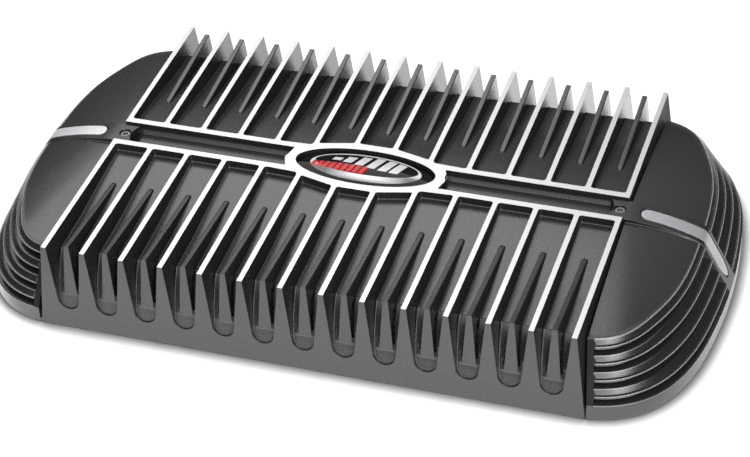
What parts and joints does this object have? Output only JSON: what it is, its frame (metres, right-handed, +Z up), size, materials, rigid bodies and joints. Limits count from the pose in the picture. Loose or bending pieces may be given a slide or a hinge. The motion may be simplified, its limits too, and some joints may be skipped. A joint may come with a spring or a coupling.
{
  "type": "car audio amplifier",
  "caption": "Car audio amplifier: finned cast heatsink with a centre medallion and a D-shaped louvred cap at each end that unscrews and lifts off the terminals.",
  "frame": {"origin": "centre of the footprint on the underside, where the amplifier rests", "axes": "+X along the long side towards the power and speaker terminals, -Y towards the front, +Z up from the mounting surface"},
  "size_m": [0.4688, 0.2568, 0.0577],
  "materials": {
    "coated_casting": "textured charcoal coat on cast aluminium, fin tops machined bright",
    "silver_strip": "brushed silver",
    "black_steel": "black coated steel",
    "zinc_steel": "zinc plated steel",
    "gloss_black": "gloss black, domed",
    "black_plastic": "moulded, satin",
    "circuit_board": "green solder mask",
    "copper_winding": "enamelled copper wire",
    "capacitor_sleeve": "shrink sleeve",
    "brass_plate": "gold plated brass",
    "thermal_pad": "silicone pad",
    "led_lens": "clear tinted lens"
  },
  "bodies": {
    "root": {"base_plate": "black_steel", "base_plate_screw_1": "black_steel", "base_plate_screw_2": "black_steel", "base_plate_screw_3": "black_steel", "base_plate_screw_4": "black_steel", "bass_potentiometer": "zinc_steel", "board_standoff_1": "brass_plate", "board_standoff_2": "brass_plate", "board_standoff_3": "brass_plate", "board_standoff_4": "brass_plate", "capacitor_1": "capacitor_sleeve", "capacitor_2": "capacitor_sleeve", "capacitor_3": "capacitor_sleeve", "capacitor_4": "capacitor_sleeve", "crossover_switch": "zinc_steel", "gain_potentiometer": "zinc_steel", "heatsink": "coated_casting", "insulator_pad_back": "thermal_pad", "insulator_pad_front": "thermal_pad", "left_end_panel": "black_steel", "main_board": "circuit_board", "medallion_dome": "gloss_black", "medallion_trim": "silver_strip", "power_terminal_block": "black_plastic", "power_terminal_insert_battery": "brass_plate", "power_terminal_insert_ground": "brass_plate", "power_terminal_insert_remote": "brass_plate", "power_transistor_1": "black_plastic", "power_transistor_2": "black_plastic", "power_transistor_3": "black_plastic", "power_transistor_4": "black_plastic", "power_transistor_5": "black_plastic", "power_transistor_6": "black_plastic", "rca_jack_block": "black_plastic", "rca_socket_left": "brass_plate", "rca_socket_right": "brass_plate", "right_end_panel": "black_steel", "speaker_terminal_block": "black_plastic", "status_led": "led_lens", "toroid_transformer_1": "copper_winding", "toroid_transformer_2": "copper_winding", "transistor_clamp_back": "zinc_steel", "transistor_clamp_front": "zinc_steel"},
    "left_cap": {"left_end_cap": "coated_casting", "left_cap_strip": "silver_strip"},
    "right_cap": {"right_end_cap": "coated_casting", "right_cap_strip": "silver_strip"},
    "left_cap_screw": {"left_cap_screw": "zinc_steel"},
    "right_cap_screw": {"right_cap_screw": "zinc_steel"},
    "gain_knob": {"gain_knob": "black_plastic"},
    "bass_knob": {"bass_knob": "black_plastic"},
    "crossover_slider": {"crossover_slider": "black_plastic"},
    "power_terminal_screw_battery": {"power_terminal_screw_battery": "zinc_steel"},
    "power_terminal_screw_ground": {"power_terminal_screw_ground": "zinc_steel"},
    "power_terminal_screw_remote": {"power_terminal_screw_remote": "zinc_steel"},
    "speaker_terminal_screw_1": {"speaker_terminal_screw_1": "zinc_steel"},
    "speaker_terminal_screw_2": {"speaker_terminal_screw_2": "zinc_steel"},
    "speaker_terminal_screw_3": {"speaker_terminal_screw_3": "zinc_steel"},
    "speaker_terminal_screw_4": {"speaker_terminal_screw_4": "zinc_steel"}
  },
  "joints": [
    {"name": "left_cap_lift", "type": "slide", "parent": "root", "child": "left_cap", "axis": [0, 0, 1], "range_m": [0, 0.085]},
    {"name": "right_cap_lift", "type": "slide", "parent": "root", "child": "right_cap", "axis": [0, 0, 1], "range_m": [0, 0.085]},
    {"name": "left_cap_screw_out", "type": "slide", "parent": "left_cap", "child": "left_cap_screw", "axis": [0, 0, 1], "range_m": [0, 0.014]},
    {"name": "right_cap_screw_out", "type": "slide", "parent": "right_cap", "child": "right_cap_screw", "axis": [0, 0, 1], "range_m": [0, 0.014]},
    {"name": "gain_knob_turn", "type": "hinge", "parent": "root", "child": "gain_knob", "pos_m": [-0.17, -0.008, 0.0174], "axis": [-1, 0, 0], "range_deg": [-150, 150]},
    {"name": "bass_knob_turn", "type": "hinge", "parent": "root", "child": "bass_knob", "pos_m": [-0.17, -0.03, 0.0174], "axis": [-1, 0, 0], "range_deg": [-150, 150]},
    {"name": "crossover_slide", "type": "slide", "parent": "root", "child": "crossover_slider", "axis": [0, 1, 0], "range_m": [-0.002, 0.002]},
    {"name": "power_screw_battery_out", "type": "slide", "parent": "root", "child": "power_terminal_screw_battery", "axis": [0, 0, 1], "range_m": [0, 0.004]},
    {"name": "power_screw_ground_out", "type": "slide", "parent": "root", "child": "power_terminal_screw_ground", "axis": [0, 0, 1], "range_m": [0, 0.004]},
    {"name": "power_screw_remote_out", "type": "slide", "parent": "root", "child": "power_terminal_screw_remote", "axis": [0, 0, 1], "range_m": [0, 0.003]},
    {"name": "speaker_screw_1_out", "type": "slide", "parent": "root", "child": "speaker_terminal_screw_1", "axis": [0, 0, 1], "range_m": [0, 0.004]},
    {"name": "speaker_screw_2_out", "type": "slide", "parent": "root", "child": "speaker_terminal_screw_2", "axis": [0, 0, 1], "range_m": [0, 0.004]},
    {"name": "speaker_screw_3_out", "type": "slide", "parent": "root", "child": "speaker_terminal_screw_3", "axis": [0, 0, 1], "range_m": [0, 0.004]},
    {"name": "speaker_screw_4_out", "type": "slide", "parent": "root", "child": "speaker_terminal_screw_4", "axis": [0, 0, 1], "range_m": [0, 0.004]}
  ]
}
